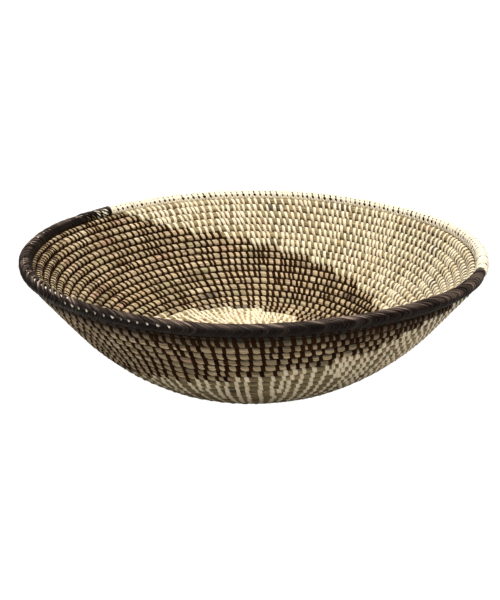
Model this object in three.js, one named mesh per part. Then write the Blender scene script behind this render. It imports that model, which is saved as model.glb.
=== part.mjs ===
// A round bread basket of coiled work: a bundle of grass wound in one spiral from the middle of the
// floor to the rim, each round sewn to the one inside it, and a thicker rim bundle wrapped in strip.
// Millimetres, +Z up, the origin at the middle of the flat underside.

import * as THREE from "three";

// Driving dimensions of the bowl, along the middle of its wall
const rimRadius = 175; // axis of the basket to the middle of the rim roll
const floorRadius = 80.3; // flat part of the floor
const footBendRadius = 36; // short bend where the floor turns up
const footAngle = 34; // degrees, slope of the wall straight after that bend
const bellyRadius = 188; // long bend of the lower wall
const wallAngle = 54.5; // degrees, slope of the upper wall, which is straight

// The coil
const coilPitch = 7.3; // from one round to the next, measured along the wall
const coilThickness = 8.4; // through the wall, inside face to outside face
const coilGap = 0.45; // clear space between neighbouring rounds
const coilStart = 8.6; // axis of the basket to the middle of the bundle where the first round starts
const coilTip = 1.2; // width of the bundle where it has thinned out under the rim
const standingCut = 0.8; // cut flat off the underside where the basket stands
const wallStretchCount = 3; // stretches that the bundle is parted into above the floor

// The rim
const rimRollDiameter = 9.4; // over the wrapping
const rimWrapThickness = 0.8; // the strip, wrapped with its turns overlapping
const rimWrapClearance = 0.35; // between the rim bundle and the wrapping
const rimSeatGap = 0.45; // between the last round of the wall and the wrapping
const rimEndAngle = -24; // degrees, where the rim bundle starts and, a full turn later, ends
const rimCreamArc = 164; // degrees of the rim wrapped in cream, from that end
const rimSides = 8; // sides of the rim's section
const rimJointGap = 0.45; // between the ends of the bundle, and of the two wrappings

const roundSteps = 24; // straight steps in one round, the same for the coil and the rim

const degree = Math.PI / 180;

// The bowl's profile through the middle of its wall, as a point at a distance along it from the axis:
// flat, then an arc up to footAngle, an arc on to wallAngle, and straight from there.
const footBendLength = footBendRadius * footAngle * degree;
const bellyLength = bellyRadius * (wallAngle - footAngle) * degree;

function alongArc(start, radius, fromAngle, length) {
  const slope = fromAngle + length / radius;
  return {
    r: start.r + radius * (Math.sin(slope) - Math.sin(fromAngle)),
    z: start.z + radius * (Math.cos(fromAngle) - Math.cos(slope)),
    slope,
  };
}

const floorEdge = { r: floorRadius, z: coilThickness / 2 - standingCut };
const footEnd = alongArc(floorEdge, footBendRadius, 0, footBendLength);
const bellyEnd = alongArc(footEnd, bellyRadius, footAngle * degree, bellyLength);

function profileAt(distance) {
  const pastFloor = distance - floorRadius;
  if (pastFloor <= 0) return { r: distance, z: floorEdge.z, slope: 0 };
  if (pastFloor <= footBendLength) {
    return alongArc(floorEdge, footBendRadius, 0, pastFloor);
  }
  const pastFoot = pastFloor - footBendLength;
  if (pastFoot <= bellyLength) {
    return alongArc(footEnd, bellyRadius, footAngle * degree, pastFoot);
  }
  const pastBelly = pastFoot - bellyLength;
  return {
    r: bellyEnd.r + pastBelly * Math.cos(wallAngle * degree),
    z: bellyEnd.z + pastBelly * Math.sin(wallAngle * degree),
    slope: wallAngle * degree,
  };
}

// The distance along the profile at which it reaches the rim's radius, by halving
function distanceToRadius(radius) {
  let low = 0;
  let high = 3 * radius;
  for (let i = 0; i < 60; i++) {
    const middle = (low + high) / 2;
    if (profileAt(middle).r < radius) low = middle;
    else high = middle;
  }
  return low;
}

const rimDistance = distanceToRadius(rimRadius);
const rim = profileAt(rimDistance);
const rimRollRadius = rimRollDiameter / 2;
const coilWidth = coilPitch - coilGap;
const coilLimit = rimDistance - rimRollRadius - rimSeatGap; // no round reaches further up than this

// The bundle at a number of rounds from its start: its middle and its width along the wall.
// The last round keeps its seat on the round below and thins out against the rim.
function coilAt(rounds) {
  const middle = coilStart + coilPitch * rounds;
  const bottom = middle - coilWidth / 2;
  const top = Math.min(middle + coilWidth / 2, coilLimit);
  return { distance: (bottom + top) / 2, width: top - bottom };
}

// A point beside the middle of the wall: across is along the profile, out is through the wall.
// Whatever would be lower than the standing face is cut flat on it.
function wallPoint(distance, across, out, turn) {
  const p = profileAt(distance);
  const r = p.r + across * Math.cos(p.slope) + out * Math.sin(p.slope);
  const z = p.z + across * Math.sin(p.slope) - out * Math.cos(p.slope);
  return new THREE.Vector3(r * Math.cos(turn), r * Math.sin(turn), Math.max(z, 0));
}

// A closed tube from rings of points: rings that all have the same number of points, and flat ends.
// A second set of rings inside the first makes it a sleeve.
function skin(rings, innerRings) {
  const sides = rings[0].length;
  const points = [...rings.flat(), ...(innerRings ? innerRings.flat() : [])];
  const faces = [];
  const quad = (a, b, c, d) => faces.push(a, c, b, a, d, c);
  const innerStart = rings.length * sides;
  for (let i = 0; i + 1 < rings.length; i++) {
    for (let j = 0; j < sides; j++) {
      const k = (j + 1) % sides;
      const a = i * sides;
      const b = a + sides;
      quad(a + j, a + k, b + k, b + j);
      if (innerRings) {
        quad(innerStart + a + j, innerStart + b + j, innerStart + b + k, innerStart + a + k);
      }
    }
  }
  const last = (rings.length - 1) * sides;
  if (innerRings) {
    for (let j = 0; j < sides; j++) {
      const k = (j + 1) % sides;
      quad(j, innerStart + j, innerStart + k, k);
      quad(last + j, last + k, innerStart + last + k, innerStart + last + j);
    }
  } else {
    for (let j = 1; j + 1 < sides; j++) {
      faces.push(0, j, j + 1);
      faces.push(last, last + j + 1, last + j);
    }
  }
  const geometry = new THREE.BufferGeometry();
  geometry.setFromPoints(points);
  geometry.setIndex(faces);
  geometry.computeVertexNormals();
  return geometry;
}

// A section at any place in a round lies on the straight step between two whole steps, so that each
// round keeps its distance from the straight steps beside it.
function onStep(sectionAt, place) {
  const before = Math.floor(place);
  const next = sectionAt(before + 1);
  return sectionAt(before).map((point, i) => point.lerp(next[i], place - before));
}

// The sections of a tube from one place to another, places being counted in steps
function sections(sectionAt, from, to) {
  const rings = [onStep(sectionAt, from)];
  for (let step = Math.floor(from) + 1; step < to; step++) rings.push(sectionAt(step));
  rings.push(onStep(sectionAt, to));
  return rings;
}

// One section of the coil, six-sided: a corner towards each neighbouring round, and flat sides to
// the inside and the outside of the bowl.
function coilSection(step) {
  const { distance, width } = coilAt(step / roundSteps);
  const turn = (2 * Math.PI * step) / roundSteps;
  const corner = (across, out) => wallPoint(distance, across * width, out * coilThickness, turn);
  return [
    corner(1 / 2, 0),
    corner(1 / 4, -1 / 2),
    corner(-1 / 4, -1 / 2),
    corner(-1 / 2, 0),
    corner(-1 / 4, 1 / 2),
    corner(1 / 4, 1 / 2),
  ];
}

// The bundle is parted into stretches: whole rounds that lie on the flat floor, and the rest up the
// wall in stretches of about as many rounds each, the last one as far as the tip.
const tipRounds = (coilLimit - coilTip + coilWidth / 2 - coilStart) / coilPitch;
const floorRounds = Math.floor((floorRadius - coilWidth / 2 - coilStart) / coilPitch);
const stretchRounds = Math.round((tipRounds - floorRounds) / wallStretchCount);
const lowerRounds = floorRounds + stretchRounds;
const middleRounds = lowerRounds + stretchRounds;

// The bundle between two numbers of rounds. Where it meets the next stretch, at whole rounds, each
// stops short by half of the gap.
function coilStretch(fromRounds, toRounds) {
  const halfJoint = (rounds) => {
    const stepLength = (2 * Math.PI * profileAt(coilAt(rounds).distance).r) / roundSteps;
    return coilGap / 2 / stepLength;
  };
  const from = fromRounds === 0 ? 0 : fromRounds * roundSteps + halfJoint(fromRounds);
  const to = toRounds === tipRounds ? tipRounds * roundSteps : toRounds * roundSteps - halfJoint(toRounds);
  return sections(coilSection, from, to);
}

const coilStretches = {
  base_coil: coilStretch(0, floorRounds),
  lower_wall_coil: coilStretch(floorRounds, lowerRounds),
  middle_wall_coil: coilStretch(lowerRounds, middleRounds),
  upper_wall_coil: coilStretch(middleRounds, tipRounds),
};

// The least gap of a coiled tube to itself, between the corners and mid-steps of its sections and
// those of the rounds beside it
function leastGap(rings) {
  const dense = rings.flatMap((ring, i) => {
    const next = rings[i + 1];
    return next ? [ring, ring.map((point, j) => point.clone().lerp(next[j], 1 / 2))] : [ring];
  });
  let least = Infinity;
  dense.forEach((ring, i) => {
    for (const other of dense.slice(i + roundSteps)) {
      for (const point of ring) {
        for (const far of other) least = Math.min(least, point.distanceTo(far));
      }
    }
  });
  return least;
}

for (const [name, rings] of Object.entries(coilStretches)) {
  console.log(name + ": least gap to itself", leastGap(rings).toFixed(2), "mm");
}

// The start of the bundle: a snail that fills the eye of the first round, with the bundle's end
// against its step.
function startKnot() {
  const radiusAt = (rounds) => coilAt(rounds).distance - coilWidth / 2 - coilGap;
  const outline = [];
  for (let step = 0; step < roundSteps; step++) {
    const turn = (2 * Math.PI * step) / roundSteps;
    const radius = radiusAt(step / roundSteps);
    outline.push(new THREE.Vector2(radius * Math.cos(turn), radius * Math.sin(turn)));
  }
  for (const radius of [radiusAt(1), radiusAt(0)]) {
    outline.push(new THREE.Vector2(Math.sqrt(radius ** 2 - coilGap ** 2), -coilGap));
  }
  return new THREE.ExtrudeGeometry(new THREE.Shape(outline), {
    depth: coilThickness - standingCut,
    bevelEnabled: false,
  });
}

// One section of the rim at a step round it, a regular polygon of the given radius
function rimSection(radius, step) {
  const turn = (2 * Math.PI * step) / roundSteps;
  const ring = [];
  for (let side = 0; side < rimSides; side++) {
    const roll = (2 * Math.PI * side) / rimSides;
    const r = rimRadius + radius * Math.cos(roll);
    const z = rim.z + radius * Math.sin(roll);
    ring.push(new THREE.Vector3(r * Math.cos(turn), r * Math.sin(turn), z));
  }
  return ring;
}

// The rim between two angles, short of each by half of the joint's gap
function rimStretch(radius, fromAngle, toAngle) {
  const halfJoint = rimJointGap / 2 / rimRadius / degree;
  const stepAt = (angle) => (angle / 360) * roundSteps;
  return sections((step) => rimSection(radius, step), stepAt(fromAngle + halfJoint), stepAt(toAngle - halfJoint));
}

const rimWrapInside = rimRollRadius - rimWrapThickness;
const rimBundleRadius = rimWrapInside - rimWrapClearance;
const rimLastAngle = rimEndAngle + 360;
const rimChangeAngle = rimEndAngle + rimCreamArc;

function rimWrap(fromAngle, toAngle) {
  const outside = rimStretch(rimRollRadius, fromAngle, toAngle);
  const inside = rimStretch(rimWrapInside, fromAngle, toAngle);
  return skin(outside, inside);
}

const grass = { color: 0xb0915a, roughness: 0.8, metalness: 0 };
const creamStrip = { color: 0xe9dfc6, roughness: 0.45, metalness: 0 };
const brownStrip = { color: 0x3a2a22, roughness: 0.4, metalness: 0 };

const basket = new THREE.Group();

function addPiece(name, geometry, finish) {
  const piece = new THREE.Mesh(geometry, new THREE.MeshStandardMaterial({ ...finish, flatShading: true }));
  piece.name = name;
  basket.add(piece);
}

addPiece("start_knot", startKnot(), creamStrip);
for (const [name, rings] of Object.entries(coilStretches)) addPiece(name, skin(rings), grass);
addPiece("rim_bundle", skin(rimStretch(rimBundleRadius, rimEndAngle, rimLastAngle)), grass);
addPiece("rim_wrap_cream", rimWrap(rimEndAngle, rimChangeAngle), creamStrip);
addPiece("rim_wrap_brown", rimWrap(rimChangeAngle, rimLastAngle), brownStrip);

export default basket;
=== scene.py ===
import math

import bpy
import numpy as np
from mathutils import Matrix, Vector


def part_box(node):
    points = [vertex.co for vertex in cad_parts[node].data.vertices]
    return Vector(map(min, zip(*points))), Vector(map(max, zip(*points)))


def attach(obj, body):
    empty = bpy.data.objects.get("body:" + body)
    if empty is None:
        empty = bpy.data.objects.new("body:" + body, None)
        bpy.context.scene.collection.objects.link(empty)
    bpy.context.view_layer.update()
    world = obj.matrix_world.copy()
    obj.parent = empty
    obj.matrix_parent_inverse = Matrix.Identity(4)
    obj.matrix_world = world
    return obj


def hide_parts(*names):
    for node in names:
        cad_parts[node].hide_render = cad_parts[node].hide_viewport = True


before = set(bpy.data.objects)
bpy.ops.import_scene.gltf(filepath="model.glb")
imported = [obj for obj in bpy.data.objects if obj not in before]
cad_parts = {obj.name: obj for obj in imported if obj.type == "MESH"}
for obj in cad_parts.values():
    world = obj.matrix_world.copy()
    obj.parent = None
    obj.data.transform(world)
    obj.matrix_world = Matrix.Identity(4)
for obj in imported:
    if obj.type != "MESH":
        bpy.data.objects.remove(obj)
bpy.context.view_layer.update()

# The grass bundle
# One bundle of dry grass stems, about as thick as a pencil, wound in a flat spiral from the middle of
# the floor and on up the wall to the rim. Each round lies on the one before and is sewn to it.
full_turn = 2 * np.pi
floor_radius = 0.0803
foot_bend_radius = 0.036
foot_angle = math.radians(34)
belly_radius = 0.188
wall_angle = math.radians(54.5)
coil_pitch = 0.0073
coil_start = 0.0086
bundle_thickness = 0.0084
standing_cut = 0.0008
floor_height = bundle_thickness / 2 - standing_cut

rim_low, rim_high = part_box("rim_wrap_brown")
rim_roll_radius = (rim_high.z - rim_low.z) / 2
rim_height = (rim_high.z + rim_low.z) / 2
rim_radius = -rim_low.x - rim_roll_radius

foot_length = foot_bend_radius * foot_angle
belly_length = belly_radius * (wall_angle - foot_angle)
belly_end = floor_radius + foot_length + belly_length


def wall_profile(distance):
    """Radius, height and slope of the middle of the wall at a distance along it from the axis.
    It is flat, then turns up in two arcs, then runs straight, and each part adds its share."""
    foot_turn = np.clip((distance - floor_radius) / foot_bend_radius, 0, foot_angle)
    past_foot = distance - floor_radius - foot_length
    belly_turn = np.clip(past_foot / belly_radius, 0, wall_angle - foot_angle)
    straight = np.maximum(distance - belly_end, 0)
    slope = foot_turn + belly_turn
    radius = (
        np.minimum(distance, floor_radius)
        + foot_bend_radius * np.sin(foot_turn)
        + belly_radius * (np.sin(foot_angle + belly_turn) - np.sin(foot_angle))
        + straight * np.cos(wall_angle)
    )
    height = (
        floor_height
        + foot_bend_radius * (1 - np.cos(foot_turn))
        + belly_radius * (np.cos(foot_angle) - np.cos(foot_angle + belly_turn))
        + straight * np.sin(wall_angle)
    )
    return radius, height, slope


rim_distance = belly_end + (rim_radius - wall_profile(belly_end)[0]) / np.cos(wall_angle)
coil_limit = rim_distance - rim_roll_radius
tip_width = 0.0012
tip_rounds = (coil_limit - tip_width + coil_pitch / 2 - coil_start) / coil_pitch


def round_at(turn):
    """Middle and width of the bundle, along the wall, after so much turning from its start. The middle
    moves out by one pitch a round. The last round keeps its seat on the round below and thins out
    against the rim."""
    middle = coil_start + coil_pitch * turn / full_turn
    low = middle - coil_pitch / 2
    high = np.minimum(middle + coil_pitch / 2, coil_limit)
    return (low + high) / 2, high - low


def smooth_step(low, high, value):
    """From nought at low to one at high, with no corner at either end: three times the share's square
    less twice its cube."""
    share = np.clip((value - low) / (high - low), 0, 1)
    return share * share * (3 - 2 * share)


def soft_bump(offset, spread, power=2):
    """One where the offset is nought, fading on either side: e to the minus of the offset over the
    spread, raised to the power."""
    return np.exp(-(offset / spread) ** power)


def angle_from(place, turn):
    """The angle from a place to each turning, the short way round."""
    return np.mod(turn - place + np.pi, full_turn) - np.pi


def running_sum(steps):
    """The sum of the steps up to each one, from nought."""
    return np.concatenate([[0], np.cumsum(steps)])


# The bowl's waver, as waves of so much height, so many to the round, and a phase.
waves_out = ((0.0007, 2, 0.4), (0.0004, 3, 2.0), (0.0003, 7, 0.0))
waves_up = ((0.0005, 2, 4.4), (0.0004, 5, 1.0))
dip = 0.0013
dip_at = math.radians(150)
dip_spread = math.radians(22)
drawn_in = 0.0017
drawn_in_at = math.radians(212)
drawn_in_spread = math.radians(32)


def waver(turn, waves):
    """A sum of sines of the turn about the axis."""
    return sum(size * np.sin(count * turn + phase) for size, count, phase in waves)


def hand_made(radius, height, turn):
    """Points from radius, height and turn about the axis, with the slight waver of a bowl that was
    shaped by hand. It grows with the height. The rim dips at one place, and at another the upper half
    of the wall is drawn in."""
    share = height / rim_height
    up = waver(turn, waves_up) - dip * soft_bump(angle_from(dip_at, turn), dip_spread)
    inwards = drawn_in * soft_bump(angle_from(drawn_in_at, turn), drawn_in_spread) * np.minimum(1, 2 * share)
    radius = radius + share * waver(turn, waves_out) - inwards
    height = height + share * up
    return np.stack([radius * np.cos(turn), radius * np.sin(turn), height], axis=-1)


standing_softness = 0.0002


def set_down(height):
    """Heights pressed flat on the table: half the sum of the height and of the root of its square plus
    a small square, so that nothing is below nought and the corner is soft."""
    return (height + np.sqrt(height**2 + standing_softness**2)) / 2


section_power = 2 / 2.05
round_overlap = 1.05
tip_thinness = 0.45


def bundle_points(turn, around, girth, lift, overlap=0.0):
    """Points on the bundle's skin. around goes about its section: zero faces the next round, a
    quarter turn the outside of the bowl. The section is a superellipse, grown by girth and lift, and
    on the side of the round before it may reach further by overlap."""
    distance, width = round_at(turn)
    radius, height, slope = wall_profile(distance)
    thinned = tip_thinness + (1 - tip_thinness) * width / coil_pitch
    half_width = width / 2 * round_overlap * (1 + girth) / 2 + lift
    half_thickness = bundle_thickness / 2 * thinned * girth + lift
    across = half_width * np.sign(np.cos(around)) * np.abs(np.cos(around)) ** section_power
    across = across * np.where(np.cos(around) < 0, 1 + overlap, 1)
    through = half_thickness * np.sign(np.sin(around)) * np.abs(np.sin(around)) ** section_power
    radius = radius + across * np.cos(slope) + through * np.sin(slope)
    height = height + across * np.sin(slope) - through * np.cos(slope)
    return hand_made(radius, set_down(height), turn)


# The stitches are brown over about half of each round and cream over the rest. Both changes of colour
# come later by some stitches in each round, so they swirl up the wall.
swirl_rate = 4.12
rim_swirl_rate = 2.0
rim_swirl_from = 0.1815
brown_start_at_rim = math.radians(142)
brown_arc = math.radians(180)
last_round_extra = math.radians(20)
next_round_extra = math.radians(2)
brown_from = 0.022
brown_full_from = 0.045

swirl_first = 0.002
swirl_samples = 3000
swirl_grid = np.linspace(swirl_first, rim_distance, swirl_samples)
swirl_rates = np.where(swirl_grid > rim_swirl_from, rim_swirl_rate, swirl_rate)
swirl_steps = swirl_rates / wall_profile(swirl_grid)[0]
swirl_turned = running_sum((swirl_steps[1:] + swirl_steps[:-1]) / 2 * np.diff(swirl_grid))
swirl_turned = swirl_turned - swirl_turned[-1]


def is_brown(turn):
    """True where the stitch at this turning is brown: within an arc of the round that starts where
    the swirl has turned to, and that opens from nothing near the middle of the floor. The arc is a
    little longer in the last two rounds."""
    distance = round_at(turn)[0]
    start = brown_start_at_rim + np.interp(distance, swirl_grid, swirl_turned)
    arc = brown_arc * smooth_step(brown_from, brown_full_from, distance)
    start = start + (brown_arc - arc)
    arc = arc + next_round_extra * (turn > full_turn * (tip_rounds - 2))
    arc = arc + (last_round_extra - next_round_extra) * (turn > full_turn * (tip_rounds - 1))
    return np.mod(turn - start, full_turn) < arc


# Where the stitches go. The maker sews each stitch beside the one under it in the round before, adds
# one where the gap has grown too wide, and leaves one out where two come too close.
cream_spacing = 0.0059
cream_floor_spacing = 0.0049
cream_wide_spacing = 0.0073
cream_wide_at = math.radians(240)
cream_wide_spread = math.radians(38)
brown_spacing = 0.0064
side_spacing = 0.0004
side_at = math.radians(53)
low_extra_spacing = 0.0010
low_to = 0.112
rim_spacing = 0.0060
rim_spacing_from = 0.186
rim_spacing_to = 0.200
tight_spacing = 0.0046
tight_at = math.radians(318)
tight_spread = math.radians(34)


def tight_sewn(turn, distance):
    """How far, from nought to one, a stitch belongs to the few rounds under the rim at the front right
    where the maker sewed much closer."""
    near_rim = smooth_step(rim_spacing_from, rim_spacing_to, distance)
    return soft_bump(angle_from(tight_at, turn), tight_spread, 4) * near_rim


def spacing_at(turn, distance):
    """The spacing that the maker aims at: each colour's own, changed by the side of the bowl and the
    nearness to floor and rim, with each change blended in by a smooth step or a soft bump."""
    brown = brown_spacing - side_spacing * np.sin(turn + side_at)
    brown = brown + low_extra_spacing * (1 - smooth_step(floor_radius, low_to, distance))
    brown = brown + (rim_spacing - brown) * smooth_step(rim_spacing_from, rim_spacing_to, distance)
    brown = brown + (tight_spacing - brown) * tight_sewn(turn, distance)
    widened = soft_bump(angle_from(cream_wide_at, turn), cream_wide_spread)
    cream = cream_spacing + (cream_wide_spacing - cream_spacing) * widened
    cream = cream - (cream_spacing - cream_floor_spacing) * (distance < floor_radius)
    return np.where(is_brown(turn), brown, cream)


hand = np.random.default_rng(11)
first_stitches = 7
first_stitch_turn = 0.2
unsewn_rounds = 0.03
last_sewn_turn = full_turn * (tip_rounds - unsewn_rounds)
left_out_within = 0.66
added_beyond = 1.38
longest_step = 1.15
keeps_place_below = 0.85
keeps_spacing = 0.15
lean_size = 0.0005
lean_waves = np.array([0.93, 2.07, 3.9])
slip_of_hand = 0.00028


def sewn_turns():
    """The turning at which each stitch is sewn, from the start of the bundle to its tip: mostly one
    round on from a stitch below, with a lean that waves slowly and a slip of the hand."""
    turns = list(np.linspace(0, full_turn, first_stitches + 1)[:-1] + first_stitch_turn)
    phases = hand.uniform(0, full_turn, len(lean_waves))
    below = 0
    while turns[-1] < last_sewn_turn:
        last = turns[-1]
        distance = float(round_at(last)[0])
        radius = float(wall_profile(distance)[0])
        gap = float(spacing_at(last, distance)) / radius
        while turns[below] + full_turn < last + left_out_within * gap:
            below += 1
        lean = lean_size * np.sin(last * lean_waves + phases).sum()
        target = turns[below] + full_turn + lean / radius
        if target - last > added_beyond * gap:
            target = last + min((target - last) / 2, longest_step * gap)
        else:
            target = keeps_place_below * target + keeps_spacing * (last + gap)
            below += 1
        turns.append(target + hand.normal(0, slip_of_hand) / radius)
    return np.array(turns)


stitch_turns = sewn_turns()
stitch_distances = round_at(stitch_turns)[0]
stitch_radii = wall_profile(stitch_distances)[0]
inner_lean = 0.0042
outer_lean = 0.0024


def strip_advance(around):
    """How far along the bundle a stitch has moved on at each place about the section: it winds on in
    proportion to the angle, more steeply inside the bowl than outside."""
    lean = np.where(around < 0, inner_lean, outer_lean)
    return lean * around / np.pi + (inner_lean - outer_lean) / 2


def to_nearest_stitch(turn, around, radius):
    """Distance along the bundle from each point of its skin to the nearest stitch's middle."""
    straight = turn - strip_advance(around) / radius
    after = np.clip(np.searchsorted(stitch_turns, straight), 1, len(stitch_turns) - 1)
    before = after - 1
    nearest = np.minimum(np.abs(straight - stitch_turns[before]), np.abs(stitch_turns[after] - straight))
    return nearest * radius


def tubes_mesh(name, rings, along, around):
    """A mesh of closed tubes. rings holds the points by tube, ring and side. along and around are the
    lengths that its UV map holds, by tube and ring and by side. Each end is closed by one face."""
    tubes, count, sides = rings.shape[:3]
    index = np.arange(tubes * count * sides).reshape(tubes, count, sides)
    next_side = np.roll(index, -1, axis=2)
    quads = np.stack(
        [index[:, :-1], next_side[:, :-1], next_side[:, 1:], index[:, 1:]], axis=-1
    ).reshape(-1, 4)
    caps = np.concatenate([index[:, 0, ::-1], index[:, -1]])
    corners = np.concatenate([quads.ravel(), caps.ravel()]).astype(np.int32)
    starts = np.concatenate([
        np.arange(len(quads)) * 4,
        len(quads) * 4 + np.arange(len(caps)) * sides,
    ]).astype(np.int32)
    mesh = bpy.data.meshes.new(name)
    mesh.vertices.add(rings.size // 3)
    mesh.vertices.foreach_set("co", rings.astype(np.float32).ravel())
    mesh.loops.add(len(corners))
    mesh.loops.foreach_set("vertex_index", corners)
    mesh.polygons.add(len(starts))
    mesh.polygons.foreach_set("loop_start", starts)
    mesh.polygons.foreach_set("use_smooth", np.ones(len(starts), bool))
    lengths = np.broadcast_to(along[:, :, None], (tubes, count, sides + 1))
    girths = np.broadcast_to(around[None, None, :], (tubes, count, sides + 1))
    both = np.stack([lengths, girths], axis=-1)
    quad_map = np.stack(
        [both[:, :-1, :-1], both[:, :-1, 1:], both[:, 1:, 1:], both[:, 1:, :-1]], axis=-2
    ).reshape(-1, 2)
    cap_map = np.concatenate([both[:, 0, :sides][:, ::-1], both[:, -1, :sides]]).reshape(-1, 2)
    uv = mesh.uv_layers.new(name="lengths")
    uv.data.foreach_set("uv", np.concatenate([quad_map, cap_map]).astype(np.float32).ravel())
    mesh.update(calc_edges=True)
    mesh.validate()
    piece = bpy.data.objects.new(name, mesh)
    bpy.context.scene.collection.objects.link(piece)
    return piece


def paint(piece, name, values):
    """Keeps one colour or one number for each vertex as an attribute, which the material reads."""
    if values.ndim == 1:
        layer = piece.data.attributes.new(name, "FLOAT", "POINT")
        layer.data.foreach_set("value", values.astype(np.float32))
    else:
        layer = piece.data.attributes.new(name, "FLOAT_COLOR", "POINT")
        full = np.concatenate([values, np.ones((len(values), 1))], axis=1)
        layer.data.foreach_set("color", full.astype(np.float32).ravel())


# Handfuls of grass differ in colour. Each is fed into the bundle over a few centimetres and mixes
# with the one before. The shares say how often each colour comes.
handful_length = 0.017
straw_colours = np.array([
    [0.50, 0.40, 0.26],
    [0.46, 0.38, 0.25],
    [0.55, 0.45, 0.31],
    [0.44, 0.37, 0.25],
    [0.41, 0.37, 0.23],
    [0.50, 0.35, 0.245],
    [0.60, 0.51, 0.37],
    [0.31, 0.25, 0.16],
    [0.50, 0.39, 0.24],
    [0.16, 0.13, 0.10],
])
straw_shares = [0.27, 0.22, 0.17, 0.13, 0.05, 0.04, 0.05, 0.04, 0.01, 0.02]
darkest_handful = 0.88
palest_handful = 1.10
mixed_from = 0.2
mixed_to = 0.8

# Length of the bundle up to each turning, summed over small steps of the spiral.
spiral_samples = 6000
spiral_turns = np.linspace(0, full_turn * tip_rounds, spiral_samples)
spiral_radii = wall_profile(round_at(spiral_turns)[0])[0]
spiral_lengths = running_sum((spiral_radii[1:] + spiral_radii[:-1]) / 2 * np.diff(spiral_turns))

handfuls = int(spiral_lengths[-1] / handful_length) + 2
handful_picks = straw_colours[hand.choice(len(straw_colours), handfuls, p=straw_shares)]
handful_picks = handful_picks * hand.uniform(darkest_handful, palest_handful, (handfuls, 1))


def straw_colour(length):
    """The colour of the grass at a length along the bundle, mixed from one handful to the next."""
    place = length / handful_length
    first = np.minimum(place.astype(int), handfuls - 2)
    mix = smooth_step(mixed_from, mixed_to, place - first)[..., None]
    return handful_picks[first] * (1 - mix) + handful_picks[first + 1] * mix


def new_finish(name):
    """A new material, its tree of nodes and its shader."""
    material = bpy.data.materials.new(name)
    material.use_nodes = True
    return material, material.node_tree, material.node_tree.nodes["Principled BSDF"]


def mix_node(tree, kind, factor, first, second):
    """A colour mix of the given kind, whose inputs are numbers, colours or sockets."""
    mix = tree.nodes.new("ShaderNodeMix")
    mix.data_type = "RGBA"
    mix.blend_type = kind
    for socket, value in ((mix.inputs[0], factor), (mix.inputs[6], first), (mix.inputs[7], second)):
        if isinstance(value, bpy.types.NodeSocket):
            tree.links.new(value, socket)
        else:
            socket.default_value = value
    return mix.outputs[2]


def lengths_noise(tree, per_metre, detail):
    """Noise on the piece's own UV map, stretched by its cells per metre along and around."""
    uv = tree.nodes.new("ShaderNodeUVMap")
    uv.uv_map = "lengths"
    mapping = tree.nodes.new("ShaderNodeMapping")
    mapping.inputs["Scale"].default_value = (*per_metre, 1)
    noise = tree.nodes.new("ShaderNodeTexNoise")
    noise.noise_dimensions = "2D"
    noise.inputs["Scale"].default_value = 1
    noise.inputs["Detail"].default_value = detail
    noise.inputs["Roughness"].default_value = 0.55
    tree.links.new(uv.outputs["UV"], mapping.inputs["Vector"])
    tree.links.new(mapping.outputs["Vector"], noise.inputs["Vector"])
    return noise.outputs["Fac"]


def ramp_node(tree, source, stops):
    """A colour ramp through the given places and colours."""
    ramp = tree.nodes.new("ShaderNodeValToRGB")
    elements = ramp.color_ramp.elements
    while len(elements) < len(stops):
        elements.new(0.5)
    for element, (place, colour) in zip(elements, stops):
        element.position = place
        element.color = (*colour, 1)
    tree.links.new(source, ramp.inputs["Fac"])
    return ramp.outputs["Color"]


def bump_node(tree, source, distance, strength):
    """Fine relief from a number, as high as the distance, for a shader's normal."""
    bump = tree.nodes.new("ShaderNodeBump")
    bump.inputs["Distance"].default_value = distance
    bump.inputs["Strength"].default_value = strength
    tree.links.new(source, bump.inputs["Height"])
    return bump.outputs["Normal"]


stem_cells = (45, 1050)


def dry_grass():
    """Stems that run along the bundle: painted streaks of light and shade a stem wide, painted highlights on
    the stems and painted shade between them, on the handful's colour with its painted light and shade, with
    a dull shine and the stems' own relief."""
    material, tree, shader = new_finish("dry_grass")
    # This attribute holds the straw's colour with the painted light and shade already multiplied in.
    handful_and_painted_light = tree.nodes.new("ShaderNodeAttribute")
    handful_and_painted_light.attribute_name = "handful_and_painted_light"
    stems = lengths_noise(tree, stem_cells, 3)
    shade = ramp_node(tree, stems, [
        (0.30, (0.26, 0.19, 0.12)),
        (0.43, (0.80, 0.76, 0.70)),
        (0.58, (1.10, 1.08, 1.04)),
        (0.70, (1.45, 1.42, 1.36)),
    ])
    coloured = mix_node(tree, "MULTIPLY", 1.0, handful_and_painted_light.outputs["Color"], shade)
    tree.links.new(coloured, shader.inputs["Base Color"])
    shader.inputs["Roughness"].default_value = 0.55
    shader.inputs["Specular IOR Level"].default_value = 0.4
    tree.links.new(bump_node(tree, stems, 0.0006, 0.8), shader.inputs["Normal"])
    return material


grass = dry_grass()
skin_step = 0.00148
skin_sides = 20
skin_length_around = 0.0245
grass_pinch = 0.13
grass_swell = 0.012
strip_bed = (0.0012, 0.0030)
stem_height = 0.00010
stem_rings = 9

# Shade painted into the grass's colour where less light falls: in the valleys between rounds, beside cream
# strip, among close stitches, at the tip, under the rim and on each round's upper outer edge. On the floor
# the grass is painted paler, as painted light.
valley_shade = np.array([0.90, 0.94, 0.97])
cream_valley_shade = np.array([0.50, 0.55, 0.62])
valley_from = 0.60
valley_full = 0.88
cream_side_light = np.array([0.62, 0.60, 0.48])
tight_shade = 0.5
tip_shade = 0.86
tip_shade_from = tip_rounds - 0.5
tip_shade_full = tip_rounds - 0.3
under_rim_shade = 0.62
under_rim_from = 0.1990
under_rim_full = 0.2045
outer_side = (-0.2, 0.4)
upper_side = (0.05, 0.75)
upper_edge_shade = 0.48
upper_edge_fade = 0.02
floor_grass_light = 1.55
floor_light_fade = 0.008


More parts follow.
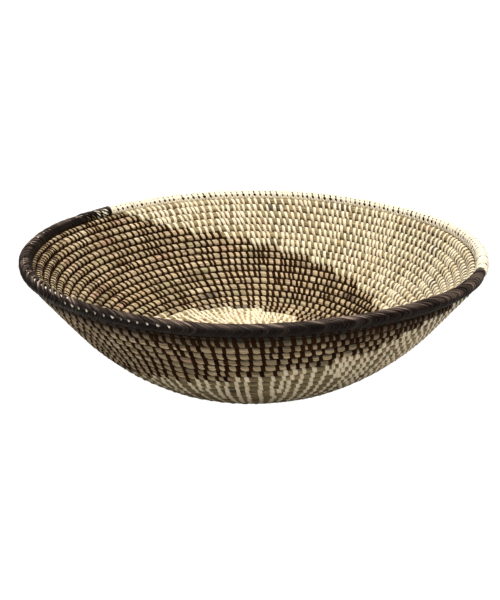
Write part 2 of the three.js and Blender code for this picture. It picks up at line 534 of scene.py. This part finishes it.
def stem_relief(rings, sides):
    """Long low ridges where single stems lie proud, one row of random heights for each side, drawn
    out along the bundle."""
    knots = hand.normal(0, 1, (rings // stem_rings + 3, sides))
    place = np.arange(rings) / stem_rings
    first = place.astype(int)
    mix = smooth_step(0, 1, place - first)[:, None]
    return knots[first] * (1 - mix) + knots[first + 1] * mix


def grass_light(turn, around):
    """How much of the straw's colour shows at each place on the skin, as painted light and shade: one, less
    each share of painted shade there, in turn, and more on the floor as painted light."""
    distance = round_at(turn)[0]
    brown_here = is_brown(turn)[..., None]
    deep = smooth_step(valley_from, valley_full, np.abs(np.cos(around)))[..., None]
    light = 1 - deep * np.where(brown_here, valley_shade, cream_valley_shade)
    light = light * np.where(brown_here, 1, cream_side_light)
    outside = smooth_step(*outer_side, np.sin(around))
    on_wall = smooth_step(floor_radius, floor_radius + upper_edge_fade, distance)
    upper_edge = smooth_step(*upper_side, np.cos(around)) * outside
    painted_shades = (
        tight_shade * tight_sewn(turn, distance),
        tip_shade * smooth_step(tip_shade_from, tip_shade_full, turn / full_turn),
        under_rim_shade * outside * smooth_step(under_rim_from, under_rim_full, distance),
        upper_edge_shade * upper_edge * on_wall,
    )
    for share in painted_shades:
        light = light * (1 - share)[..., None]
    # Painted light: the grass between cream stitches on the floor is made paler.
    on_floor = 1 - smooth_step(floor_radius - floor_light_fade, floor_radius, distance)
    return light * (1 + (floor_grass_light - 1) * on_floor[..., None] * ~brown_here)


def grass_stretch(name, from_rounds, to_rounds):
    """The skin of the bundle between two numbers of rounds: pinched where a stitch lies, full
    between the stitches."""
    ends = np.interp([full_turn * from_rounds, full_turn * to_rounds], spiral_turns, spiral_lengths)
    count = int((ends[1] - ends[0]) / skin_step) + 1
    length = np.linspace(ends[0], ends[1], count)
    turn = np.interp(length, spiral_lengths, spiral_turns)[:, None]
    around = np.linspace(-np.pi, np.pi, skin_sides, endpoint=False)[None, :]
    radius = wall_profile(round_at(turn)[0])[0]
    clear = smooth_step(*strip_bed, to_nearest_stitch(turn, around, radius))
    girth = 1 - grass_pinch * (1 - clear) + grass_swell * clear
    relief = stem_height * stem_relief(count, skin_sides)
    points = bundle_points(turn, around, girth, relief)
    piece = tubes_mesh(name, points[None], length[None], np.linspace(0, skin_length_around, skin_sides + 1))
    # The straw's colour times the painted light and shade goes into one colour attribute.
    colours = straw_colour(length)[:, None, :] * grass_light(turn, around)
    paint(piece, "handful_and_painted_light", colours.reshape(-1, 3))
    piece.data.materials.append(grass)
    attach(piece, "root")
    return piece


lower_wall_from = 9
middle_wall_from = 15
upper_wall_from = 21
grass_floor = grass_stretch("grass_floor", 0, lower_wall_from)
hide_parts("base_coil")
grass_lower = grass_stretch("grass_lower_wall", lower_wall_from, middle_wall_from)
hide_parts("lower_wall_coil")
grass_middle = grass_stretch("grass_middle_wall", middle_wall_from, upper_wall_from)
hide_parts("middle_wall_coil")
grass_upper = grass_stretch("grass_upper_wall", upper_wall_from, tip_rounds)
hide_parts("upper_wall_coil")

# The stitches
# Flat plastic strip, cream and dark brown, sewn over the bundle and through the round before. Each
# stitch is drawn tight, so it sinks a little into the grass.
strip_thickness = 0.00046
strip_section = np.array([[-0.5, 0.10], [-0.40, 0.80], [0.0, 1.0], [0.40, 0.80], [0.5, 0.10]])
strip_across = strip_section[None, None, ::-1, 0]
strip_height = strip_section[None, None, ::-1, 1]
strip_map = np.array([0, 0.2, 0.5, 0.8, 1.0, 1.6])
strip_map_start = 40
stitch_stations = 12
stitch_length = 0.0235
tuck = math.radians(168)
strip_overlap = 0.42
narrowest_strip = 0.80
widest_strip = 1.16
strip_waist = 0.10
waist_power = 3
strip_sway = 0.00036
sway_waves = 1.5


def stitch_mesh(name, chosen, width):
    """Stitches as strips laid over the skin of the bundle: each runs about the section, winding on,
    and its legs reach over the valley into the round before. Its section is flat below and crowned."""
    around = np.linspace(-tuck, tuck, stitch_stations)[None, :, None]
    turn = stitch_turns[chosen][:, None, None]
    radius = stitch_radii[chosen][:, None, None]
    widths = width * hand.uniform(narrowest_strip, widest_strip, len(chosen))[:, None, None]
    narrowed = 1 - strip_waist * np.abs(np.cos(around)) ** waist_power
    sideways = strip_across * widths * narrowed
    sway = hand.normal(0, strip_sway, (len(chosen), 1, 1)) * np.sin(around * sway_waves)
    at = turn + (strip_advance(around) + sideways + sway) / radius
    points = bundle_points(at, around, 1 - grass_pinch, strip_height * strip_thickness, strip_overlap)
    starts = hand.uniform(0, strip_map_start, (len(chosen), 1))
    along = np.linspace(0, stitch_length, stitch_stations)[None, :] + starts
    piece = tubes_mesh(name, points, along, strip_map * width)
    paint(piece, "tone_and_painted_highlight", np.repeat(hand.normal(0, 1, len(chosen)), stitch_stations * len(strip_section)))
    return piece


tone_reach = 2.2
strip_line_cells = (90, 1900)


def plastic_strip(name, pale, dark, roughness, specular):
    """Flat strip: fine lines along it, and a tone that differs a little from strip to strip. On the rim's
    brown wraps the tone also carries a painted highlight.
    """
    material, tree, shader = new_finish(name)
    tone_and_painted_highlight = tree.nodes.new("ShaderNodeAttribute")
    tone_and_painted_highlight.attribute_name = "tone_and_painted_highlight"
    spread = tree.nodes.new("ShaderNodeMapRange")
    spread.inputs["From Min"].default_value = -tone_reach
    spread.inputs["From Max"].default_value = tone_reach
    tree.links.new(tone_and_painted_highlight.outputs["Fac"], spread.inputs["Value"])
    lines = lengths_noise(tree, strip_line_cells, 2)
    base = mix_node(tree, "MIX", spread.outputs["Result"], (*dark, 1), (*pale, 1))
    lined = ramp_node(tree, lines, [
        (0.30, (0.80, 0.78, 0.74)),
        (0.50, (1.00, 1.00, 1.00)),
        (0.72, (1.08, 1.08, 1.08)),
    ])
    coloured = mix_node(tree, "MULTIPLY", 0.8, base, lined)
    tree.links.new(coloured, shader.inputs["Base Color"])
    shader.inputs["Roughness"].default_value = roughness
    shader.inputs["Specular IOR Level"].default_value = specular
    tree.links.new(bump_node(tree, lines, 0.0003, 0.5), shader.inputs["Normal"])
    return material


cream = plastic_strip("cream_strip_finish", (0.90, 0.83, 0.66), (0.78, 0.69, 0.50), 0.45, 0.35)
brown = plastic_strip("brown_strip_finish", (0.036, 0.014, 0.003), (0.012, 0.004, 0.001), 0.58, 0.03)
stitch_width = 0.0031
brown_stitch = is_brown(stitch_turns)

cream_stitches = stitch_mesh("stitches_cream", np.flatnonzero(~brown_stitch), stitch_width)
cream_stitches.data.materials.append(cream)
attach(cream_stitches, "root")

brown_stitches = stitch_mesh("stitches_brown", np.flatnonzero(brown_stitch), stitch_width)
brown_stitches.data.materials.append(brown)
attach(brown_stitches, "root")

# The start of the bundle
# The first few centimetres of grass, curled up on themselves in the eye of the first round and bound
# closely with cream strip.
knot_from = -0.97
knot_bound_to = 0.03
knot_core_end = 0.25
knot_full_from = -0.2
knot_tip_half_width = 0.0014
knot_tip_thickness = 0.75
knot_stations = 90
knot_sides = 16
knot_length_along = 0.006
knot_length_around = 0.022


def knot_points(turn, around, lift):
    """Points on the curled start: ellipses that swell from a tip, each with its outer edge against the
    inner edge of the round outside it, and grown by lift."""
    share = smooth_step(knot_from, knot_full_from, turn / full_turn)
    half_width = knot_tip_half_width + (coil_pitch / 2 - knot_tip_half_width) * share
    edge = coil_start + coil_pitch * turn / full_turn + coil_pitch / 2
    middle = edge - half_width
    half_thickness = bundle_thickness / 2 * (knot_tip_thickness + (1 - knot_tip_thickness) * share)
    across = (half_width + lift - strip_thickness) * np.cos(around)
    through = (half_thickness + lift - strip_thickness) * np.sin(around)
    return hand_made(middle + across, set_down(floor_height - through), turn)


knot_turn = np.linspace(full_turn * knot_from, knot_core_end, knot_stations)[:, None]
knot_around = np.linspace(-np.pi, np.pi, knot_sides, endpoint=False)[None, :]
knot_core = knot_points(knot_turn, knot_around, 0.0)
start_core = tubes_mesh(
    "start_core",
    knot_core[None],
    knot_turn.T * knot_length_along,
    np.linspace(0, knot_length_around, knot_sides + 1),
)
paint(start_core, "handful_and_painted_light", np.repeat(straw_colours[[1]], knot_core.size // 3, axis=0))
start_core.data.materials.append(grass)
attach(start_core, "root")

knot_wrap_spacing = 0.0021
knot_wrap_width = 0.0026
knot_wrap_lift = 0.00025
knot_wrap_stations = 15
knot_least_radius = 0.0016
knot_samples = 400
knot_rounds = np.linspace(knot_from, knot_bound_to, knot_samples)
knot_radii = coil_start + coil_pitch * knot_rounds
knot_steps = full_turn * np.diff(knot_rounds)
knot_lengths = running_sum(np.maximum(knot_radii[1:], knot_least_radius) * knot_steps)
wrap_lengths = np.arange(0, knot_lengths[-1], knot_wrap_spacing)
wrap_places = np.interp(wrap_lengths, knot_lengths, full_turn * knot_rounds)
wrap_around = np.linspace(-np.pi, np.pi, knot_wrap_stations)[None, :, None]
wrap_radius = np.maximum(coil_start + coil_pitch * wrap_places / full_turn, knot_wrap_width)[:, None, None]
wrap_at = wrap_places[:, None, None] + strip_across * knot_wrap_width / wrap_radius
wrap_points = knot_points(wrap_at, wrap_around, strip_height * strip_thickness + knot_wrap_lift)
wrap_starts = hand.uniform(0, strip_map_start, (len(wrap_places), 1))
wrap_along = np.linspace(0, knot_length_around, knot_wrap_stations)[None, :] + wrap_starts
wrap_tones = np.repeat(hand.normal(0, 1, len(wrap_places)), knot_wrap_stations * len(strip_section))
start_wrap = tubes_mesh("start_wrap", wrap_points, wrap_along, strip_map * knot_wrap_width)
paint(start_wrap, "tone_and_painted_highlight", wrap_tones)
start_wrap.data.materials.append(cream)
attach(start_wrap, "root")
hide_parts("start_knot")

# The rim
# A thicker bundle of grass, laid once round the top and bound closely with flat strip, three cream
# strips abreast over somewhat less than half of the way and seven brown ones over the rest.
rim_end_angle = math.radians(-24)
rim_change_angle = math.radians(140)
rim_strip_thickness = 0.0008
rim_slack = 0.0005
rim_bundle_radius = rim_roll_radius - rim_strip_thickness - rim_slack
wall_side = math.pi + wall_angle
wall_reach = 0.0012
thin_at = math.radians(270)
thin_spread = math.radians(40)
thin_share = 0.15
end_taper = 0.18
end_taper_over = 0.13
end_round = 0.30
end_round_over = 0.030


def rim_points(turn, around, radius):
    """Points about the middle of the rim roll: circles, drawn out a little on the wall's side, where
    the wraps go down into the top round. The roll is thinner on one side, and rounds off as a quarter
    circle does at its brown end."""
    girth = 1 - thin_share * soft_bump(angle_from(thin_at, turn), thin_spread)
    to_end = rim_end_angle + full_turn - turn
    girth = girth * (1 - end_taper * (1 - smooth_step(0, end_taper_over, to_end)))
    rounding = 1 - np.clip(to_end / end_round_over, 0, 1)
    girth = girth * (1 - end_round * (1 - np.sqrt(1 - rounding**2)))
    radius = radius * girth + wall_reach * np.maximum(np.cos(around - wall_side), 0) ** 2
    return hand_made(rim_radius + radius * np.cos(around), rim_height + radius * np.sin(around), turn)


rim_stations = 740
rim_sides = 16
rim_opening = 0.004
rim_turn = np.linspace(rim_end_angle, rim_end_angle + full_turn - rim_opening, rim_stations)[:, None]
rim_around = np.linspace(np.pi, -np.pi, rim_sides, endpoint=False)[None, :]
rim_skin = rim_bundle_radius + stem_height * stem_relief(rim_stations, rim_sides)
rim_grass = tubes_mesh(
    "grass_rim",
    rim_points(rim_turn, rim_around, rim_skin)[None],
    rim_turn.T * rim_radius,
    np.linspace(0, full_turn * rim_bundle_radius, rim_sides + 1),
)
rim_straw = np.array([0.30, 0.23, 0.13]) * np.ones((rim_stations * rim_sides, 1))
paint(rim_grass, "handful_and_painted_light", rim_straw)
rim_grass.data.materials.append(grass)
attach(rim_grass, "root")
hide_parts("rim_bundle")

braid_crest = math.radians(22)
braid_half = math.radians(95)
braid_run = 0.0085
braid_run_right = 0.0050
braid_begun_over = 0.4
braid_roundness = 0.5
# Painted highlight on the crest of the rim roll, where light falls: its place about the roll and the cosines
# where it starts and is full, wider at the right.
highlight_at = math.radians(86)
highlight_from = 0.68
highlight_from_right = 0.34
highlight_full = 0.95
highlight_full_right = 0.85
right_from = math.radians(298)
right_to = math.radians(326)
right_turned = math.radians(26)


def braid_bend(around, at):
    """How far a wrap runs ahead along the rim at each place about it: it bends forward to a point on
    the outer side of the crest and back below, so wraps side by side look braided. At the right the
    point is higher and the bend less."""
    right = smooth_step(right_from, right_to, at)
    offset = angle_from(braid_crest, around - right * right_turned)
    share = np.clip(np.abs(offset) / braid_half, 0, 1)
    begun = smooth_step(0, braid_begun_over, at - rim_change_angle)
    bend = 1 - braid_roundness * smooth_step(0, 1, share) - (1 - braid_roundness) * share
    return bend * begun * (braid_run + (braid_run_right - braid_run) * right)


def crest_painted_highlight(around, at):
    """How much painted highlight the strips get at each place about the rim, where light falls on the crest
    of the roll: a smooth step in the cosine of the angle from the top of the roll, which takes in more of
    the roll at the right."""
    right = smooth_step(right_from, right_to, at)
    facing = np.cos(around - highlight_at + right * right_turned)
    highlight_low = highlight_from + (highlight_from_right - highlight_from) * right
    full = highlight_full + (highlight_full_right - highlight_full) * right
    return smooth_step(highlight_low, full, facing)


def gap_rows(*rows):
    """Rows of small gaps between wraps. Each row gives its place about the rim, its start and its end
    along it in degrees, then how far the wraps part, and over what angle about the rim."""
    about, begin, end, share, spread = np.array(rows).T
    return np.radians(about), np.radians(begin), np.radians(end), share, spread


gap_fade = 0.03


def parting(around, at, gaps):
    """How far two wraps stand apart at each place about the rim: a few soft bumps, each between two
    places along it, and nought elsewhere."""
    about, begin, end, share, spread = gaps
    offset = angle_from(about, around[..., None])
    begun = smooth_step(-gap_fade, gap_fade, at[..., None] - begin)
    not_over = smooth_step(-gap_fade, gap_fade, end - at[..., None])
    return (share * soft_bump(offset, spread) * (begun * not_over)).sum(axis=-1)


# How the strips of each colour are laid: how many abreast, the spacing of wraps, the strip's width, how many
# wraps make a group whose first two part, and how far. Then shares from nought to one of how far the braid
# bends them and how much painted light takes over their tone, as painted highlight on the crest and the
# strips' crowns and painted shade elsewhere, the height of lumps under them, how much longer the first steps
# are, and how deep they sink where the other colour covers them.
cream_gaps = gap_rows((170, -24, 140, 1.2, 0.25), (124, -24, 140, 0.7, 0.14), (41, -24, 140, 0.9, 0.27))
cream_lay = {
    "abreast": 3,
    "spacing": 0.0028,
    "width": 0.0034,
    "group": 2,
    "part": 0.0014,
    "braided": 0.0,
    "painted_highlight": 0.0,
    "lumps": 0.0,
    "first_steps": [],
    "sunk": 0.0005,
}
brown_gaps = gap_rows((104, 146, 184, 1.0, 0.30), (86, 180, 228, 0.95, 0.31), (24, 226, 252.5, 0.85, 0.30))
brown_lay = {
    "abreast": 7,
    "spacing": 0.0021,
    "width": 0.0026,
    "group": 3,
    "part": 0.0018,
    "braided": 1.0,
    "painted_highlight": 0.92,
    "lumps": 0.0006,
    "first_steps": [1.0, 1.0, 3.2, 1.0, 3.0, 1.0, 2.4, 1.0, 1.8],
    "sunk": 0.0,
}
turn_stations = 22
rim_section = np.array([[-0.5, 0.0], [-0.33, 0.72], [0.0, 1.0], [0.33, 0.72], [0.5, 0.0]])
# Painted highlight along each rim strip's crown and painted shade at its edges, as shares across the strip.
crown_painted_light = np.array([0.0, 0.45, 1.6, 0.45, 0.0])
step_range = (0.76, 1.24)
wrap_width_range = (0.84, 1.16)
part_range = (0.4, 1.0)
loosest_wrap = 0.00045
over_lift = 0.00022
drawn_thin = 0.12
wrap_turn_length = 0.0295
lane_shift = 3.7
sunk_over = 0.02
rounding_guard = 1e-9
darkest_tone = -2.1
tone_spread = 0.75


def rim_wrap(name, finish, from_angle, to_angle, gaps, lay):
    """Strips wound abreast about the rim as helices, and where along the rim each wrap lies. In one turn
    about the roll a strip moves on by as many wraps as there are abreast. Wraps take turns to lie over
    and under, part in the gaps by random amounts, and bend ahead where they look braided. At each end
    the strips wind once on the spot. A few wraps are much paler than the rest."""
    abreast = lay["abreast"]
    group = lay["group"]
    width = lay["width"]
    wraps = round((to_angle - from_angle) * rim_radius / lay["spacing"])
    steps = hand.uniform(*step_range, wraps)
    steps[:len(lay["first_steps"])] *= lay["first_steps"]
    places = running_sum(steps)
    places = from_angle + (to_angle - from_angle) * places / places[-1]
    inset = width / 2 / rim_radius
    places = np.clip(places, from_angle + inset, to_angle - inset)
    extra = 2 * abreast
    count = wraps + 2 * extra
    widths = width * hand.uniform(*wrap_width_range, count)
    lifts = hand.uniform(0, loosest_wrap, count)
    lifts = lifts + np.repeat(hand.uniform(0, lay["lumps"], count), 3)[:count]
    parts = lay["part"] * hand.uniform(*part_range, count)
    tones = hand.exponential(tone_spread, count) + darkest_tone
    turns = int(wraps / abreast) + 2
    place = np.linspace(-1, turns - 1, turns * turn_stations + 1)[None, :]
    lane = np.arange(abreast)[:, None]
    middle = np.interp(np.clip(lane + abreast * place, 0, wraps), np.arange(wraps + 1), places)
    around = -np.pi / 2 - place * full_turn
    wrap = (lane + abreast * np.floor(place + rounding_guard)).astype(int) + extra
    wrap = np.clip(wrap, 0, count - 2)
    in_group = wrap % group
    side = np.where(in_group == 0, -1.0, np.where(in_group == 1, 1.0, 0.0))
    apart = parting(np.broadcast_to(around, middle.shape), middle, gaps)
    middle = middle + side * parts[wrap - in_group] * apart / rim_radius
    middle = middle + lay["braided"] * braid_bend(around, middle) / rim_radius
    middle = np.clip(middle, from_angle + inset, to_angle - inset)
    top = np.sin(np.pi * np.mod(place, 1)) ** 2
    lift = (lifts[wrap] + over_lift * (wrap % 2 > 0)) * top
    lift = lift - lay["sunk"] * smooth_step(rim_change_angle - sunk_over, rim_change_angle, middle)
    sideways = rim_section[None, None, ::-1, 0] * (widths[wrap] * (1 - drawn_thin * apart))[..., None]
    height = rim_section[None, None, ::-1, 1] * rim_strip_thickness + lift[..., None]
    at = middle[..., None] + sideways / rim_radius
    points = rim_points(at, around[..., None], rim_bundle_radius + height)
    piece = tubes_mesh(name, points, (place + lane_shift * lane) * wrap_turn_length, strip_map * width)
    # Painted light on the brown wraps: pale on the crest of the roll and along each strip's crown, dark at
    # the strip's edges and on the roll's lower face; each wrap's random tone shows only where it is painted
    # lit.
    painted_highlight = lay["painted_highlight"]
    highlit = 1 - painted_highlight * (1 - crest_painted_highlight(around, middle))
    shown = ((tones[wrap] + tone_reach) * highlit)[..., None] * (1 - painted_highlight + painted_highlight * crown_painted_light)
    paint(piece, "tone_and_painted_highlight", (shown - tone_reach).ravel())
    piece.data.materials.append(finish)
    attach(piece, "root")
    return piece, places


rim_cream_finish = plastic_strip("cream_rim_finish", (0.90, 0.86, 0.74), (0.84, 0.78, 0.63), 0.42, 0.45)
# The brown rim's pale colour is where the painted highlight on the crest goes.
rim_brown_and_highlight = plastic_strip("brown_rim_strip_and_painted_highlight", (0.46, 0.34, 0.28), (0.003, 0.001, 0.001), 0.38, 0.12)

cream_under_brown = 0.13
cream_end = rim_change_angle + cream_under_brown
rim_cream, cream_places = rim_wrap(
    "rim_strip_cream", rim_cream_finish, rim_end_angle, cream_end, cream_gaps, cream_lay
)
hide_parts("rim_wrap_cream")

brown_late = 0.02
brown_start = rim_change_angle + brown_late
rim_brown, brown_places = rim_wrap(
    "rim_strip_brown", rim_brown_and_highlight, brown_start, rim_end_angle + full_turn, brown_gaps, brown_lay
)
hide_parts("rim_wrap_brown")

# The carried strips
# Flat strip of the colour that isn't in use is carried along the rim's bundle under the wraps, one
# length for each row of gaps, and shows as small spots in the gaps.
carried_stations = 900
carried_thickness = 0.00022
carried_swell = 0.0006
carried_swell_range = (0.2, 1.2)
carried_swell_spread = 0.0010
carried_from = 0.02


def gap_places(around, places, lay):
    """Where along the rim the wraps part at one place about it: between the first two of each group."""
    abreast = lay["abreast"]
    wraps = len(places) - 1
    first = np.arange(-2 * abreast % lay["group"], wraps, lay["group"])
    share = np.mod(-(around + np.pi / 2) / full_turn, 1)
    at = np.interp(first + 0.5 + abreast * share, np.arange(wraps + 1), places)
    return at + lay["braided"] * braid_bend(around, at) / rim_radius


def carried_strip(name, finish, width, beyond, gaps, places, lay):
    """Strips that lie along the rim's bundle, one at the place about it of each row of gaps, and swell
    up as a soft bump in each gap."""
    about, begin, end = gaps[:3]
    turn = np.linspace(begin + carried_from, end + beyond, carried_stations, axis=1)
    swelling = []
    for row, row_about in zip(turn, about):
        near = gap_places(row_about, places, lay)
        apart = np.abs(row[:, None] - near[None, :])
        swells = carried_swell * hand.uniform(*carried_swell_range, len(near))[apart.argmin(axis=1)]
        swelling.append(swells * soft_bump(apart.min(axis=1) * rim_radius, carried_swell_spread))
    around = about[:, None, None] + strip_across * width / rim_bundle_radius
    radius = rim_bundle_radius + strip_height * carried_thickness + np.array(swelling)[:, :, None]
    points = rim_points(turn[:, :, None], around, radius)
    piece = tubes_mesh(name, points, turn * rim_radius, strip_map * width)
    paint(piece, "tone_and_painted_highlight", np.zeros(turn.size * len(strip_section)))
    piece.data.materials.append(finish)
    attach(piece, "root")


carried_strip(
    "carried_brown_strip", brown, 0.0022, -0.02, cream_gaps, cream_places, cream_lay
)
carried_strip(
    "carried_cream_strip", rim_cream_finish, 0.0017, 0.05, brown_gaps, brown_places, brown_lay
)

# The floor, the light and the camera
# A plain pale floor under an even white sky, with a soft key lamp above, a weaker fill lamp in front,
# and the camera at the photo's angle. The camera sees the floor and the sky as white.
white_seen = 1.15
floor_whiteness = 0.94
sky_light = 0.30

bpy.ops.mesh.primitive_circle_add(vertices=96, radius=40, fill_type="NGON", location=(0, 0, 0))
floor = bpy.context.object
floor.name = "floor"
floor_paint, floor_tree, floor_shader = new_finish("pale_floor")
floor_shader.inputs["Base Color"].default_value = (0.50, 0.48, 0.45, 1)
floor_shader.inputs["Roughness"].default_value = 0.9
floor_shader.inputs["Specular IOR Level"].default_value = 0.0
floor_glow = floor_tree.nodes.new("ShaderNodeEmission")
floor_glow.inputs["Strength"].default_value = white_seen
seen_floor = floor_tree.nodes.new("ShaderNodeMixShader")
ray_kind = floor_tree.nodes.new("ShaderNodeLightPath")
seen_share = floor_tree.nodes.new("ShaderNodeMath")
seen_share.operation = "MULTIPLY"
seen_share.inputs[1].default_value = floor_whiteness
floor_tree.links.new(ray_kind.outputs["Is Camera Ray"], seen_share.inputs[0])
floor_tree.links.new(seen_share.outputs[0], seen_floor.inputs[0])
floor_tree.links.new(floor_shader.outputs[0], seen_floor.inputs[1])
floor_tree.links.new(floor_glow.outputs[0], seen_floor.inputs[2])
floor_tree.links.new(seen_floor.outputs[0], floor_tree.nodes["Material Output"].inputs["Surface"])
floor.data.materials.append(floor_paint)

world = bpy.data.worlds.new("studio")
bpy.context.scene.world = world
world.use_nodes = True
sky_tree = world.node_tree
sky = sky_tree.nodes["Background"]
sky.inputs["Color"].default_value = (1, 1, 1, 1)
sky_ray = sky_tree.nodes.new("ShaderNodeLightPath")
sky_strength = sky_tree.nodes.new("ShaderNodeMapRange")
sky_strength.inputs["To Min"].default_value = sky_light
sky_strength.inputs["To Max"].default_value = white_seen
sky_tree.links.new(sky_ray.outputs["Is Camera Ray"], sky_strength.inputs["Value"])
sky_tree.links.new(sky_strength.outputs["Result"], sky.inputs["Strength"])

lamp_aim = np.array([0, 0, 0.05])
lamp_colour = (1.0, 0.94, 0.85)


def soft_lamp(name, place, size, power):
    """A square area lamp that faces the basket."""
    data = bpy.data.lights.new(name, "AREA")
    data.shape = "SQUARE"
    data.size = size
    data.energy = power
    data.color = lamp_colour
    lamp = bpy.data.objects.new(name, data)
    bpy.context.scene.collection.objects.link(lamp)
    lamp.location = place
    direction = lamp_aim - np.array(place)
    lamp.rotation_euler = (
        math.atan2(math.hypot(direction[0], direction[1]), -direction[2]),
        0,
        math.atan2(direction[1], direction[0]) - math.pi / 2,
    )


soft_lamp("key", (0.15, -0.35, 1.6), 0.6, 34)
soft_lamp("fill", (-0.1, -1.6, 1.1), 1.0, 4.5)

photo_width = 500
photo_height = 600
photo_axis_x = 253
focal_pixels = 703.3
camera_distance = 0.53904
camera_above_rim = 0.15892
camera_tilt = 0.367

camera_data = bpy.data.cameras.new("camera")
camera_data.sensor_width = 36
camera_data.lens = focal_pixels / photo_height * camera_data.sensor_width
camera_data.shift_x = (photo_width / 2 - photo_axis_x) / photo_height
camera_data.clip_start = 0.05
camera_data.clip_end = 200
camera = bpy.data.objects.new("camera", camera_data)
bpy.context.scene.collection.objects.link(camera)
camera.location = (0, -camera_distance, rim_height + camera_above_rim)
camera.rotation_euler = (math.pi / 2 - camera_tilt, 0, 0)
bpy.context.scene.camera = camera
bpy.context.scene.view_settings.view_transform = "Standard"
